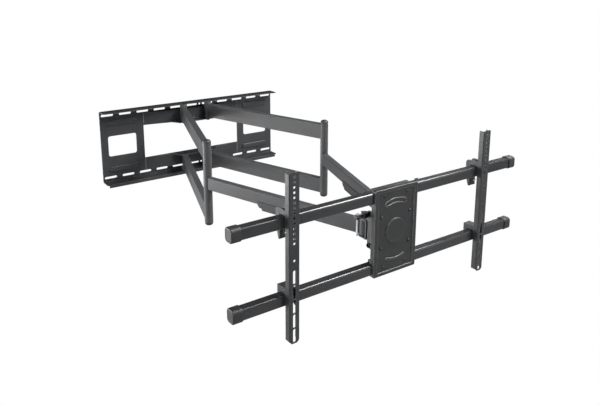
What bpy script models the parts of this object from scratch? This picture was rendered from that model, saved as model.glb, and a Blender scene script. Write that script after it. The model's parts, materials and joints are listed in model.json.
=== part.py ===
"""Full motion TV wall mount with two double arms, modelled in metres, +Z up, front towards -Y.

Heights are measured from the mid height of the arms. The world origin is a point on the back face
of the wall plate, so the frame empty sits MOUNT_Z below it. Each moving body hangs on an empty that
stands on its joint's axis. Sides are named as seen from the front: left is -X.
"""
import math

import bmesh
import bpy
from mathutils import Matrix, Vector

# Clearances and segment counts
GAP = 0.0003           # between pieces that touch
RUN = 0.0006           # between faces that turn or slide on each other
ARC = 4                # segments in a quarter of a small rounded corner
ROUND = 20             # segments round a barrel or a bolt head
SMALL_ROUND = 12       # segments round a small hole or a pin

# Wall plate
PLATE_W = 0.765
PLATE_H = 0.281
SHEET = 0.0025
FLANGE = 0.050         # forward depth of the top and bottom flanges
LIP = 0.010            # down-turned edge of the bottom flange
OPENING_W = 0.420
OPENING_H = 0.136
WINDOW_W = 0.112
WINDOW_H = 0.080
WINDOW_X = 0.298
CORNER = 0.008
SLOT_PITCH = 0.0705
SLOT_LENGTH = 0.048
SLOT_WIDTH = 0.009
SLOTS_PER_SIDE = 5
SLOT_ROW_IN = 0.017    # from the plate's edge to a row of screw slots
SLOT_ROW_Z = PLATE_H / 2 - SLOT_ROW_IN
BEAD_X = (0.236, 0.356)
BEAD_Z = 0.092
BEAD_H = 0.020
BEAD_RISE = 0.0045
FLANGE_HOLES_X = (0.120, 0.300)
FLANGE_HOLE_R = 0.0035
MOUNT_Z = 0.094        # height of the world origin above the arms' mid height

# Wall pivots
PIVOT_X = 0.0535
PIVOT_Y = 0.040
BOLT_R = 0.004
BOLT_HEAD_R = 0.007
BOLT_CROWN_R = 0.005   # flat top of a wall bolt's chamfered head
BOLT_HEAD_H = 0.0035
NUT_H = 0.0055
CHANNEL_STEEL = 0.003
CHANNEL_Z = 0.066      # face of the channel's flange that looks at the opening
CHANNEL_TOP_Z = 0.115
CHANNEL_X = (0.100, 0.210)
CHANNEL_RISE = 0.018   # how far the channel's web stands off the plate
CHANNEL_FOOT = 0.012   # width of the channel's foot on the plate
SHELF_X = 0.078
SHELF_Y = 0.055

# Arms
ELBOW_X = 0.2335
ELBOW_Y = 0.597
KNUCKLE_R = 0.0138
PIN_R = 0.006
INNER_BAR_H = 0.055
INNER_BAR_Z = 0.0995
INNER_BAR_T = 0.022
OUTER_BAR_H = 0.040
OUTER_BAR_T = 0.022
TUBE_WALL = 0.002
DRAIN_R = 0.003
DRAIN_AT = 0.015       # from the start of the bar's hollow
POST_H = 0.287
CAP_H = 0.010
CAP_CROWN = 0.0062     # height of the cap's domed part
KNUCKLE_Z = 0.0695     # seam between an inner knuckle and the spacer beside it
SLEEVE_H = 0.048
HEAD_KNUCKLE_H = 0.045
CLIP_LENGTH = 0.170
CLIP_WALL = 0.002
CLIP_DROP = 0.0155     # how far the clip hangs below the bar
CLIP_GRIP = 0.010      # how far its sides reach up the bar
CLIP_AT = 0.305        # distance of its middle from the elbow
CLIP_STEP = 0.006
CLIP_SCALLOP = ((3.0, 0.0), (2.6, 1.0), (1.0, 1.3), (0.5, 2.0), (0.0, 2.4))  # its end, in steps

# Head
YOKE_STEEL = 0.0035
YOKE_HALF_X = 0.0695
YOKE_WEB_Y = 0.0205    # back face of the yoke's web in front of the head pivots
LUG_STEEL = 0.004
AXLE_Y = 0.039
AXLE_Z = -0.036
AXLE_R = 0.005
AXLE_BOSS_R = 0.010
STUD_Y = 0.030
STUD_Z = 0.048
STUD_R = 0.003
STUD_HEAD_R = 0.006
STUD_BOSS_R = 0.008
TILT_DOWN = 15.0
TILT_UP = 5.0
HUB_R = 0.0085         # tilt lock: a hub on the stud, with a neck and an eye for its bar
HUB_W = 0.018
HUB_NECK_R = 0.005
HUB_EYE_R = 0.0075
HUB_EYE_W = 0.013
HUB_LENGTH = 0.041
HUB_FACET = 0.0015
LOCK_BAR_R = 0.003
LOCK_BAR_UP = 0.010    # from the stud's axis to the bar's upper end, and to its lower end
LOCK_BAR_DOWN = 0.052
LOCK_BAR_CROWN = 0.0015

# Face plate, as distances in front of the head pivots
FACE_W = 0.150
FACE_H = 0.240
FACE_Y = 0.065         # front of the rim
FACE_RECESS = 0.003
FACE_STEEL = 0.0025
FACE_FLANGE = 0.0145
RIM_X = 0.012
RIM_Z = 0.010
DISC_R = 0.033
DISC_RISE = 0.0035
ARC_R = 0.0815
ARC_HALF = 22.0
ARC_UPPER_W = 0.010
ARC_LOWER_W = 0.006
ARC_RIM = 0.0025
ARC_RISE = 0.0012
ARC_POCKET = 0.0012    # depth of the upper arc's pocket below the panel
ARC_LOWER_RISE = 0.0022
FACE_SCREW_IN = 0.025  # from the face plate's side
FACE_SCREW_X = FACE_W / 2 - FACE_SCREW_IN
FACE_SCREW_Z = 0.043
FACE_SCREW_R = 0.003
FACE_HEAD_R = 0.0045
FACE_HEAD_H = 0.0025
RAIL_HOLE_IN = 0.035
RAIL_HOLE_X = FACE_W / 2 - RAIL_HOLE_IN
TAB_W = 0.012
TAB_H = 0.009
LEVEL_SWING = 3.0
CARRIAGE_Y = 0.0535    # back face of the carriage plate
CARRIAGE_STEEL = 0.003
CARRIAGE_IN = 0.006    # from the face plate's side
CARRIAGE_W = FACE_W - 2 * CARRIAGE_IN
CARRIAGE_H = 0.112
LUG_IN = 0.0141
LUG_X = FACE_W / 2 - LUG_IN  # inner face of a lug of the yoke
EAR_STEEL = 0.0035
EAR_LAND = 0.003       # metal on each side of the ear's curved slot
EAR_PAST = 3.0         # degrees of metal past the slot's rear end
EAR_NECK = 12.0        # degrees from the slot's front end back to the ear's neck
EAR_WAIST = 0.002      # how far the neck lies in front of the stud
TRACK_SPARE = 0.5      # spare degrees at the ends of the curved slots

# Rails and TV brackets
RAIL_LENGTH = 0.974
RAIL_H = 0.030
RAIL_D = 0.026
RAIL_IN = 0.0065       # from the face plate's top edge: room for its wall and the clamp
RAIL_Z = FACE_H / 2 - RAIL_H / 2 - RAIL_IN
RAIL_WALL = 0.002
RAIL_CORNER = 0.005
END_CAP = 0.024
END_CAP_WALL = 0.0024
END_CAP_CORNER = 0.0095
CLAMP_STEEL = 0.0025
CLAMP_IN = 0.010       # from the face plate's side
CLAMP_W = FACE_W - 2 * CLAMP_IN
BRACKET_X = 0.333
BRACKET_W = 0.030
BRACKET_H = 0.430
BRACKET_Z = 0.008      # middle of the bracket above the arms' mid height
BRACKET_STEEL = 0.002
FOOT_CHAMFER = 0.0075
TOP_CHAMFER = 0.00375
BRACKET_D = 0.0165
BRACKET_AHEAD = 0.0178  # front of the bracket before the front of the rails
BRACKET_HOLES = 14
HOLE_PITCH = 0.0125
HOLE_R = 0.0032
FIRST_HOLE = 0.0108    # from the bracket's top edge
SINGLE_HOLE = 0.216
BRACKET_SLOTS = 5
LONG_SLOT = 0.0345
LONG_SLOT_W = 0.008
LONG_PITCH = 0.0379
FIRST_SLOT = 0.2574
CHEEK = 0.003
HOOK_W = 0.0250
HOOK_OVER = 0.013      # height of the hook above its rail
HOOK_ROUND = 0.010     # rounding of its crown
HOOK_BEHIND = 0.016    # thickness of the hook behind its rail
LOW_HOOK_BEHIND = 0.0112
HOOK_TAIL = 0.034      # length of the upper hook's tail below the rail
SAFETY_R = 0.0025
SAFETY_HEAD_R = 0.006
SAFETY_REACH = 0.018   # from the rail's back face forward to the screw's tip

# Worked out from the above
ARM_RUN_Y = ELBOW_Y - PIVOT_Y
ARM_RUN_X = ELBOW_X - PIVOT_X
ARM_LENGTH = math.hypot(ARM_RUN_X, ARM_RUN_Y)
ARM_ANGLE = math.atan2(ARM_RUN_X, ARM_RUN_Y)
SIDES = {"left": -1, "right": 1}
LEVELS = {"upper": 1, "lower": -1}


# ---------------------------------------------------------------- outlines
def arc(cx, cy, r, start, end, steps):
    """Points on an arc, from start to end in degrees."""
    angles = [math.radians(start + (end - start) * i / steps) for i in range(steps + 1)]
    return [(cx + r * math.cos(a), cy + r * math.sin(a)) for a in angles]


def circle(cx, cy, r, steps=SMALL_ROUND):
    return arc(cx, cy, r, 0, 360, steps)[:-1]


def rounded(cx, cy, w, h, r):
    """A rectangle with rounded corners."""
    a, b = w / 2 - r, h / 2 - r
    corners = ((a, b, 0), (-a, b, 90), (-a, -b, 180), (a, -b, 270))
    return [p for x, y, s in corners for p in arc(cx + x, cy + y, r, s, s + 90, ARC)]


def slot(cx, cy, length, width, upright=False):
    """A slot with round ends, lying along the first axis unless it is upright."""
    reach = (length - width) / 2
    dx, dy, start = (0, reach, 0) if upright else (reach, 0, -90)
    far = arc(cx + dx, cy + dy, width / 2, start, start + 180, ARC + 2)
    near = arc(cx - dx, cy - dy, width / 2, start + 180, start + 360, ARC + 2)
    return far + near


def arc_slot(radius, width, middle, half, steps=8):
    """A curved slot round the origin; angles are in degrees."""
    r = width / 2
    out = arc(0, 0, radius + r, middle - half, middle + half, steps)
    back = arc(0, 0, radius - r, middle + half, middle - half, steps)
    a, b = math.radians(middle + half), math.radians(middle - half)
    tip = arc(radius * math.cos(a), radius * math.sin(a), r, middle + half, middle + half + 180, ARC)
    root = arc(radius * math.cos(b), radius * math.sin(b), r, middle - half - 180, middle - half, ARC)
    return out + tip[1:-1] + back + root[1:-1]


def dome(radius, rise, base, steps=4):
    """Profile of a domed top: (radius, height) points from the axis out to its edge."""
    angles = [math.radians(90 * i / steps) for i in range(steps + 1)]
    return [(radius * math.sin(a), base + rise * math.cos(a)) for a in angles]


# ---------------------------------------------------------------- solids
AXES = {
    "X": Matrix(((0, 0, 1, 0), (1, 0, 0, 0), (0, 1, 0, 0), (0, 0, 0, 1))),
    "Y": Matrix(((1, 0, 0, 0), (0, 0, 1, 0), (0, 1, 0, 0), (0, 0, 0, 1))),
    "Z": Matrix.Identity(4),
}


def tidy(obj):
    """Merges doubled vertices, drops faces without area and turns every face outward."""
    bm = bmesh.new()
    bm.from_mesh(obj.data)
    bmesh.ops.remove_doubles(bm, verts=bm.verts, dist=1e-6)
    bmesh.ops.dissolve_degenerate(bm, dist=1e-6, edges=bm.edges)
    bmesh.ops.recalc_face_normals(bm, faces=bm.faces)
    bm.to_mesh(obj.data)
    bm.free()
    return obj


def bake(obj):
    """Replaces an object's data with its evaluated mesh."""
    graph = bpy.context.evaluated_depsgraph_get()
    mesh = bpy.data.meshes.new_from_object(obj.evaluated_get(graph), depsgraph=graph)
    fresh = bpy.data.objects.new(obj.name, mesh)
    bpy.context.scene.collection.objects.link(fresh)
    bpy.data.objects.remove(obj)
    return tidy(fresh)


def prism(outlines, lo, hi, axis="Z"):
    """Flat outlines, holes included, made solid from lo to hi along an axis.

    The outline's two numbers are the two other axes: XY for Z, XZ for Y and YZ for X.
    """
    curve = bpy.data.curves.new("outline", "CURVE")
    curve.dimensions = "2D"
    curve.fill_mode = "BOTH"
    curve.extrude = (hi - lo) / 2
    for outline in outlines:
        spline = curve.splines.new("POLY")
        spline.points.add(len(outline) - 1)
        for point, (u, v) in zip(spline.points, outline):
            point.co = (u, v, 0, 1)
        spline.use_cyclic_u = True
    obj = bpy.data.objects.new("outline", curve)
    bpy.context.scene.collection.objects.link(obj)
    obj = bake(obj)
    obj.data.transform(AXES[axis] @ Matrix.Translation((0, 0, (lo + hi) / 2)))
    return tidy(obj)


def block(x, y, z):
    """A box from three pairs of limits."""
    bpy.ops.mesh.primitive_cube_add(size=1)
    obj = bpy.context.object
    size = Matrix.Diagonal((x[1] - x[0], y[1] - y[0], z[1] - z[0], 1))
    obj.data.transform(Matrix.Translation(((x[0] + x[1]) / 2, (y[0] + y[1]) / 2, (z[0] + z[1]) / 2)) @ size)
    return tidy(obj)


def turned(profile, steps=ROUND, axis="Z"):
    """A profile of (radius, height) points, from the top down, turned round an axis."""
    mesh = bpy.data.meshes.new("profile")
    closed = profile[0][0] > 0
    edges = [(i, i + 1) for i in range(len(profile) - 1)] + ([(len(profile) - 1, 0)] if closed else [])
    mesh.from_pydata([(r, 0, h) for r, h in profile], edges, [])
    obj = bpy.data.objects.new("profile", mesh)
    bpy.context.scene.collection.objects.link(obj)
    screw = obj.modifiers.new("turn", "SCREW")
    screw.axis = "Z"
    screw.steps = screw.render_steps = steps
    screw.use_merge_vertices = True
    screw.merge_threshold = 1e-5
    obj = bake(obj)
    obj.data.transform(AXES[axis])
    return tidy(obj)


def rod(radius, lo, hi, steps=SMALL_ROUND, axis="Z"):
    return turned([(0, hi), (radius, hi), (radius, lo), (0, lo)], steps, axis)


def barrel(radius, bore, lo, hi, steps=ROUND):
    return prism([circle(0, 0, radius, steps), circle(0, 0, bore)], lo, hi)


def moved(obj, x=0.0, y=0.0, z=0.0):
    obj.data.transform(Matrix.Translation((x, y, z)))
    return obj


def combine(base, tool, operation):
    mod = base.modifiers.new("boolean", "BOOLEAN")
    mod.operation = operation
    mod.solver = "EXACT"
    mod.object = tool
    base = bake(base)
    bpy.data.objects.remove(tool)
    return base


def cut(base, *tools):
    for tool in tools:
        base = combine(base, tool, "DIFFERENCE")
    return base


def weld(base, *tools):
    for tool in tools:
        base = combine(base, tool, "UNION")
    return base


# ---------------------------------------------------------------- scene
def material(name, colour, roughness, metallic):
    mat = bpy.data.materials.new(name)
    mat.use_nodes = True
    shader = mat.node_tree.nodes["Principled BSDF"]
    shader.inputs["Base Color"].default_value = (*colour, 1)
    shader.inputs["Roughness"].default_value = roughness
    shader.inputs["Metallic"].default_value = metallic
    mat.diffuse_color = (*colour, 1)
    return mat


def make_materials():
    return {
        "coat": material("powder_coat", (0.035, 0.036, 0.038), 0.5, 0.3),
        "satin": material("satin_coat", (0.030, 0.031, 0.033), 0.35, 0.4),
        "plastic": material("black_plastic", (0.012, 0.012, 0.013), 0.45, 0.0),
        "zinc": material("zinc", (0.55, 0.56, 0.58), 0.3, 1.0),
        "dark_bolt": material("black_oxide", (0.03, 0.03, 0.032), 0.4, 0.8),
    }


def clear_scene():
    for obj in list(bpy.data.objects):
        bpy.data.objects.remove(obj)


class Assembly:
    """Places the named pieces in one collection."""

    def __init__(self, title):
        self.collection = bpy.data.collections.new(title)
        bpy.context.scene.collection.children.link(self.collection)
        self.materials = make_materials()

    def empty(self, name, parent=None, at=(0, 0, 0), turn=0.0):
        obj = bpy.data.objects.new(name, None)
        self.collection.objects.link(obj)
        obj.parent = parent
        obj.location = at
        obj.rotation_euler = (0, 0, turn)
        return obj

    def add(self, name, obj, parent, slot_name):
        """Names a solid, gives it its material and hangs it on its body."""
        obj.name = obj.data.name = name
        for coll in list(obj.users_collection):
            coll.objects.unlink(obj)
        self.collection.objects.link(obj)
        obj.data.materials.clear()
        obj.data.materials.append(self.materials[slot_name])
        obj.parent = parent
        return obj


# ---------------------------------------------------------------- wall side
def wall_slots():
    """Screw slots of both rows, and a round hole on each side of the middle slot."""
    holes = []
    for level in LEVELS.values():
        z = level * SLOT_ROW_Z
        holes += [slot(i * SLOT_PITCH, z, SLOT_LENGTH, SLOT_WIDTH)
                  for i in range(-SLOTS_PER_SIDE, SLOTS_PER_SIDE + 1)]
        holes += [circle(side * SLOT_PITCH / 2, z, SLOT_WIDTH / 2) for side in SIDES.values()]
    return holes


def wall_plate():
    """The pressed sheet: slotted back, two flanges, a lip and four stiffening beads."""
    top = PLATE_H / 2
    outline = rounded(0, 0, PLATE_W, PLATE_H - 2 * GAP, CORNER / 4)
    windows = [rounded(side * WINDOW_X, 0, WINDOW_W, WINDOW_H, CORNER) for side in SIDES.values()]
    opening = rounded(0, 0, OPENING_W, OPENING_H, CORNER / 2)
    plate = prism([outline], -SHEET, 0, "Y")
    plate = cut(plate, prism([opening, *windows, *wall_slots()], -SHEET - RUN, RUN, "Y"))
    for level in LEVELS.values():
        shelf = [rounded(0, -FLANGE / 2 - GAP, PLATE_W - GAP, FLANGE, CORNER / 2)]
        shelf += [circle(side * PIVOT_X, -PIVOT_Y, BOLT_R + GAP) for side in SIDES.values()]
        if level < 0:
            shelf += [circle(side * x, -FLANGE / 2, FLANGE_HOLE_R)
                      for side in SIDES.values() for x in FLANGE_HOLES_X]
        z = sorted((level * top, level * (top - SHEET)))
        plate = weld(plate, prism(shelf, *z))
    lip = block((-PLATE_W / 2 + CORNER, PLATE_W / 2 - CORNER),
                (-FLANGE - GAP / 2, -FLANGE + SHEET), (-top - LIP, -top + SHEET / 2))
    plate = weld(plate, lip)
    middle, length = sum(BEAD_X) / 2, BEAD_X[1] - BEAD_X[0]
    beads = [slot(side * middle, level * BEAD_Z, length, BEAD_H)
             for side in SIDES.values() for level in LEVELS.values()]
    return weld(plate, prism(beads, -SHEET - BEAD_RISE, -SHEET / 2, "Y"))


def pivot_channel(level):
    """A hat-shaped channel on the plate, with the shelf that holds two pivot bolts."""
    inner, outer = CHANNEL_X
    near, far = SHEET + GAP, SHEET + CHANNEL_RISE
    web = [(-outer, -near), (-inner, -far), (inner, -far), (outer, -near)]
    web += [(outer - CHANNEL_FOOT, -near), (inner - CHANNEL_STEEL, -far + CHANNEL_STEEL)]
    web += [(-inner + CHANNEL_STEEL, -far + CHANNEL_STEEL), (-outer + CHANNEL_FOOT, -near)]
    z = sorted((level * CHANNEL_Z, level * CHANNEL_TOP_Z))
    channel = prism([web], *z)
    shelf = [(-outer + CHANNEL_FOOT, -near - GAP), (-inner, -far + GAP), (-SHELF_X, -SHELF_Y)]
    shelf += [(-x, y) for x, y in reversed(shelf)]
    holes = [circle(side * PIVOT_X, -PIVOT_Y, BOLT_R + GAP) for side in SIDES.values()]
    z = sorted((level * (CHANNEL_Z - GAP), level * (CHANNEL_Z + CHANNEL_STEEL)))
    return weld(channel, prism([shelf, *holes], *z))


def wall_bolt(level):
    """A pivot bolt with its nut: the head is on top, the nut below."""
    top = PLATE_H / 2 if level > 0 else -CHANNEL_Z + GAP
    bottom = CHANNEL_Z - GAP if level > 0 else -PLATE_H / 2
    head, nut = top + GAP, bottom - GAP
    return turned([(0, head + BOLT_HEAD_H), (BOLT_CROWN_R, head + BOLT_HEAD_H),
                   (BOLT_HEAD_R, head + BOLT_HEAD_H / 2), (BOLT_HEAD_R, head), (BOLT_R, head), (BOLT_R, nut),
                   (BOLT_HEAD_R, nut), (BOLT_HEAD_R, nut - NUT_H), (0, nut - NUT_H)], SMALL_ROUND)


def build_wall(kit, frame):
    kit.add("wall_plate", wall_plate(), frame, "coat")
    for level_name, level in LEVELS.items():
        kit.add(f"{level_name}_pivot_channel", pivot_channel(level), frame, "coat")
        for side_name, side in SIDES.items():
            bolt = moved(wall_bolt(level), side * PIVOT_X, -PIVOT_Y)
            kit.add(f"{side_name}_{level_name}_wall_bolt", bolt, frame, "dark_bolt")


# ---------------------------------------------------------------- arms
def inner_bar(level):
    """A rectangular tube with a welded knuckle at each end.

    The drain hole underneath joins the tube's hollow to the outside, so both are cut as one tool.
    """
    half = INNER_BAR_H / 2
    z0, z1 = level * INNER_BAR_Z - half, level * INNER_BAR_Z + half
    wide = INNER_BAR_T / 2
    bar = block((-wide, wide), (-ARM_LENGTH + KNUCKLE_R / 2, -KNUCKLE_R / 2), (z0, z1))
    wall_z = sorted((level * (CHANNEL_Z + CHANNEL_STEEL + RUN), level * (PLATE_H / 2 - SHEET - RUN)))
    elbow_z = sorted((level * (KNUCKLE_Z + GAP), level * (POST_H / 2 - CAP_H - GAP)))
    elbow_end = moved(rod(KNUCKLE_R, *elbow_z, ROUND), y=-ARM_LENGTH)
    bar = weld(bar, rod(KNUCKLE_R, *wall_z, ROUND), elbow_end)
    start = KNUCKLE_R + TUBE_WALL
    hollow = block((-wide + TUBE_WALL, wide - TUBE_WALL), (-ARM_LENGTH + start, -start),
                   (z0 + TUBE_WALL, z1 - TUBE_WALL))
    drain = moved(rod(DRAIN_R, z0 - RUN, z0 + TUBE_WALL + RUN), y=-start - DRAIN_AT)
    wall_bore = rod(BOLT_R + GAP, -POST_H, POST_H)
    pin_bore = moved(rod(PIN_R + GAP, -POST_H, POST_H), y=-ARM_LENGTH)
    return cut(bar, weld(hollow, drain), wall_bore, pin_bore)


def elbow_cap(level):
    """The domed cap that closes the end of the elbow post."""
    seat = POST_H / 2 - CAP_H
    cap = turned([*dome(KNUCKLE_R, CAP_CROWN, seat + CAP_H - CAP_CROWN), (KNUCKLE_R, seat), (0, seat)])
    return cap if level > 0 else flipped(cap)


def flipped(obj):
    """Mirrors a solid in height."""
    obj.data.transform(Matrix.Diagonal((1, 1, -1, 1)))
    return tidy(obj)


def build_inner_arm(kit, frame, side_name):
    side = SIDES[side_name]
    arm = kit.empty(f"{side_name}_inner_arm", frame, (side * PIVOT_X, -PIVOT_Y, 0), side * ARM_ANGLE)
    reach = POST_H / 2 - CAP_H - GAP
    pin = moved(rod(PIN_R, -reach, reach, SMALL_ROUND), y=-ARM_LENGTH)
    kit.add(f"{side_name}_elbow_pin", pin, arm, "zinc")
    for level_name, level in LEVELS.items():
        kit.add(f"{side_name}_{level_name}_inner_bar", inner_bar(level), arm, "coat")
        z = sorted((level * (SLEEVE_H / 2 + RUN), level * (KNUCKLE_Z - GAP)))
        spacer = moved(barrel(KNUCKLE_R, PIN_R + GAP, *z), y=-ARM_LENGTH)
        kit.add(f"{side_name}_{level_name}_elbow_spacer", spacer, arm, "coat")
        cap = moved(elbow_cap(level), y=-ARM_LENGTH)
        kit.add(f"{side_name}_{level_name}_elbow_cap", cap, arm, "plastic")
    return arm


def outer_bar():
    """A rectangular tube cut to sit against the round sleeve and the round head knuckle."""
    wide, half = OUTER_BAR_T / 2, OUTER_BAR_H / 2
    bar = block((-wide, wide), (-ARM_LENGTH, 0), (-half, half))
    bore = block((-wide + TUBE_WALL, wide - TUBE_WALL), (-ARM_LENGTH - RUN, RUN),
                 (-half + TUBE_WALL, half - TUBE_WALL))
    saddles = [moved(rod(KNUCKLE_R + GAP, -POST_H, POST_H, ROUND), y=y) for y in (0, -ARM_LENGTH)]
    stops = ((-KNUCKLE_R / 2, KNUCKLE_R), (-ARM_LENGTH - KNUCKLE_R, -ARM_LENGTH + KNUCKLE_R / 2))
    ends = [block((-2 * wide, 2 * wide), stop, (-2 * half, 2 * half)) for stop in stops]
    return cut(bar, bore, *saddles, *ends)


def cable_clip():
    """A trough clipped under the bar, its ends stepped, with room for cables inside."""
    inner = OUTER_BAR_T / 2 + GAP
    outer = inner + CLIP_WALL
    bottom = -OUTER_BAR_H / 2 - CLIP_DROP
    top = -OUTER_BAR_H / 2 + CLIP_GRIP
    reach = CLIP_LENGTH / 2
    right = [(reach - back * CLIP_STEP, bottom + up * CLIP_STEP) for back, up in CLIP_SCALLOP]
    right.append((reach, top))
    left = [(-y, z) for y, z in reversed(right)]
    side = [(y - CLIP_AT, z) for y, z in right + left]
    clip = prism([side], -outer, outer, "X")
    trough = block((-inner, inner), (-CLIP_AT - CLIP_LENGTH, -CLIP_AT + CLIP_LENGTH),
                   (bottom + CLIP_WALL, top + CLIP_WALL))
    return cut(clip, trough)


def build_outer_arm(kit, inner_arm, side_name):
    side = SIDES[side_name]
    arm = kit.empty(f"{side_name}_outer_arm", inner_arm, (0, -ARM_LENGTH, 0), -2 * side * ARM_ANGLE)
    sleeve = barrel(KNUCKLE_R, PIN_R + RUN, -SLEEVE_H / 2, SLEEVE_H / 2)
    kit.add(f"{side_name}_elbow_sleeve", sleeve, arm, "coat")
    kit.add(f"{side_name}_outer_bar", outer_bar(), arm, "coat")
    knuckle = barrel(KNUCKLE_R, PIN_R + RUN, -HEAD_KNUCKLE_H / 2, HEAD_KNUCKLE_H / 2)
    kit.add(f"{side_name}_head_knuckle", moved(knuckle, y=-ARM_LENGTH), arm, "coat")
    kit.add(f"{side_name}_cable_clip", cable_clip(), arm, "plastic")
    return arm


# ---------------------------------------------------------------- head
def head_yoke():
    """A channel open to the back that holds both head pins, with two lugs for the tilt axle."""
    clear = HEAD_KNUCKLE_H / 2 + RUN
    top = clear + YOKE_STEEL
    front = YOKE_WEB_Y + YOKE_STEEL
    r = YOKE_HALF_X - PIVOT_X
    yoke = block((-YOKE_HALF_X, YOKE_HALF_X), (-front, -YOKE_WEB_Y), (-top, top))
    plan = [(-YOKE_HALF_X + GAP, -front + GAP), (YOKE_HALF_X - GAP, -front + GAP)]
    plan += arc(PIVOT_X, 0, r - GAP, 0, 90, ARC) + arc(-PIVOT_X, 0, r - GAP, 90, 180, ARC)
    holes = [circle(side * PIVOT_X, 0, PIN_R + GAP) for side in SIDES.values()]
    for level in LEVELS.values():
        z = sorted((level * clear, level * (top - GAP)))
        yoke = weld(yoke, prism([plan, *holes], *z))
    back = -YOKE_WEB_Y - YOKE_STEEL / 2
    lug = [(back, -clear), (-AXLE_Y + AXLE_BOSS_R, AXLE_Z - GAP)]
    lug += arc(-AXLE_Y, AXLE_Z, AXLE_BOSS_R, 0, -180, 2 * ARC)
    lug += arc(-STUD_Y, STUD_Z, STUD_BOSS_R, 180, 0, 2 * ARC) + [(back, clear)]
    holes = [circle(-AXLE_Y, AXLE_Z, AXLE_R + GAP), circle(-STUD_Y, STUD_Z, STUD_R + GAP)]
    for side in SIDES.values():
        x = sorted((side * LUG_X, side * (LUG_X + LUG_STEEL)))
        yoke = weld(yoke, prism([lug, *holes], *x, "X"))
    return yoke


def head_pin():
    """A pin with a low head above the yoke."""
    top = HEAD_KNUCKLE_H / 2 + RUN + YOKE_STEEL + GAP
    return turned([(0, top + BOLT_HEAD_H), (BOLT_HEAD_R, top + BOLT_HEAD_H), (BOLT_HEAD_R, top),
                   (PIN_R, top), (PIN_R, -top - BOLT_HEAD_H / 2), (0, -top - BOLT_HEAD_H / 2)], SMALL_ROUND)


def ear_outline():
    """Side view of a carriage ear: it holds the axle and carries the curved slot of the tilt lock."""
    reach = math.hypot(STUD_Y - AXLE_Y, STUD_Z - AXLE_Z)
    lean = math.degrees(math.atan2(AXLE_Y - STUD_Y, STUD_Z - AXLE_Z))
    first, last = 90 - lean + TILT_UP, 90 - lean - TILT_DOWN
    width = 2 * (STUD_R + GAP)
    margin = width / 2 + EAR_LAND
    front = -CARRIAGE_Y - CARRIAGE_STEEL / 2
    tip = last - EAR_PAST
    arc_top = [(y - AXLE_Y, z + AXLE_Z) for y, z in arc(0, 0, reach + margin, first, tip, ARC + 2)]
    arc_low = [(y - AXLE_Y, z + AXLE_Z) for y, z in arc(0, 0, reach - margin, tip, first - EAR_NECK, ARC)]
    boss = arc(-AXLE_Y, AXLE_Z, AXLE_BOSS_R - RUN, 0, -90, ARC)
    outline = [(front, arc_top[0][1])] + arc_top + arc_low
    outline += [(-STUD_Y - EAR_WAIST, STUD_Z / 2), (boss[0][0], 0)] + boss
    outline += [(front, -CARRIAGE_H / 2 + CORNER)]
    middle, half = (first + last) / 2, (first - last) / 2
    track = [(y - AXLE_Y, z + AXLE_Z) for y, z in arc_slot(reach, width, middle, half + TRACK_SPARE)]
    return [outline, track, circle(-AXLE_Y, AXLE_Z, AXLE_R + RUN)]


def tilt_carriage():
    """The plate behind the face plate, with two ears that straddle the yoke's lugs."""
    holes = []
    radius = math.hypot(FACE_SCREW_X, FACE_SCREW_Z)
    for x in SIDES.values():
        for z in LEVELS.values():
            middle = math.degrees(math.atan2(z * FACE_SCREW_Z, x * FACE_SCREW_X))
            holes.append(arc_slot(radius, 2 * (FACE_SCREW_R + GAP), middle, LEVEL_SWING + TRACK_SPARE, 2))
    plate = rounded(0, 0, CARRIAGE_W, CARRIAGE_H, CORNER)
    carriage = prism([plate, *holes], -CARRIAGE_Y - CARRIAGE_STEEL, -CARRIAGE_Y, "Y")
    for side in SIDES.values():
        x = sorted((side * (LUG_X + LUG_STEEL + RUN), side * (LUG_X + LUG_STEEL + RUN + EAR_STEEL)))
        carriage = weld(carriage, prism(ear_outline(), *x, "X"))
    return carriage


def tilt_axle():
    half = LUG_X + LUG_STEEL + RUN + EAR_STEEL + GAP
    head = [(0, half + BOLT_HEAD_H), (BOLT_HEAD_R, half + BOLT_HEAD_H), (BOLT_HEAD_R, half)]
    nut = [(BOLT_HEAD_R, -half), (BOLT_HEAD_R, -half - NUT_H), (0, -half - NUT_H)]
    axle = turned([*head, (AXLE_R, half), (AXLE_R, -half), *nut], SMALL_ROUND, "X")
    return moved(axle, y=-AXLE_Y, z=AXLE_Z)


def hub_inner_x():
    return LUG_X + LUG_STEEL + RUN + EAR_STEEL + RUN


def tilt_stud():
    """The threaded stud of the tilt lock; its head is on the right, the hub on the left."""
    right = hub_inner_x()
    tip = -right - HUB_W / 2
    stud = turned([(0, right + BOLT_HEAD_H), (STUD_HEAD_R, right + BOLT_HEAD_H), (STUD_HEAD_R, right),
                   (STUD_R, right), (STUD_R, tip), (0, tip)], SMALL_ROUND, "X")
    return moved(stud, y=-STUD_Y, z=STUD_Z)


def lock_bar_x():
    return -hub_inner_x() - HUB_LENGTH + HUB_EYE_W / 2


def tilt_lock_hub():
    """Screwed on the stud's left end; its eye, past a thinner neck, carries the bar."""
    start = -hub_inner_x()
    end = start - HUB_LENGTH
    profile = [(0, start - RUN), (HUB_R, start - RUN), (HUB_R, start - HUB_W + HUB_FACET),
               (HUB_R - HUB_FACET, start - HUB_W), (HUB_NECK_R, start - HUB_W),
               (HUB_NECK_R, end + HUB_EYE_W), (HUB_EYE_R, end + HUB_EYE_W - HUB_FACET),
               (HUB_EYE_R, end + HUB_FACET), (HUB_EYE_R - HUB_FACET, end), (0, end)]
    bore = rod(STUD_R + RUN, start - HUB_W / 2 - RUN, start + RUN, SMALL_ROUND, "X")
    eye = moved(rod(LOCK_BAR_R + GAP, -HUB_R, HUB_R), lock_bar_x())
    return cut(turned(profile, ROUND, "X"), bore, eye)


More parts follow.
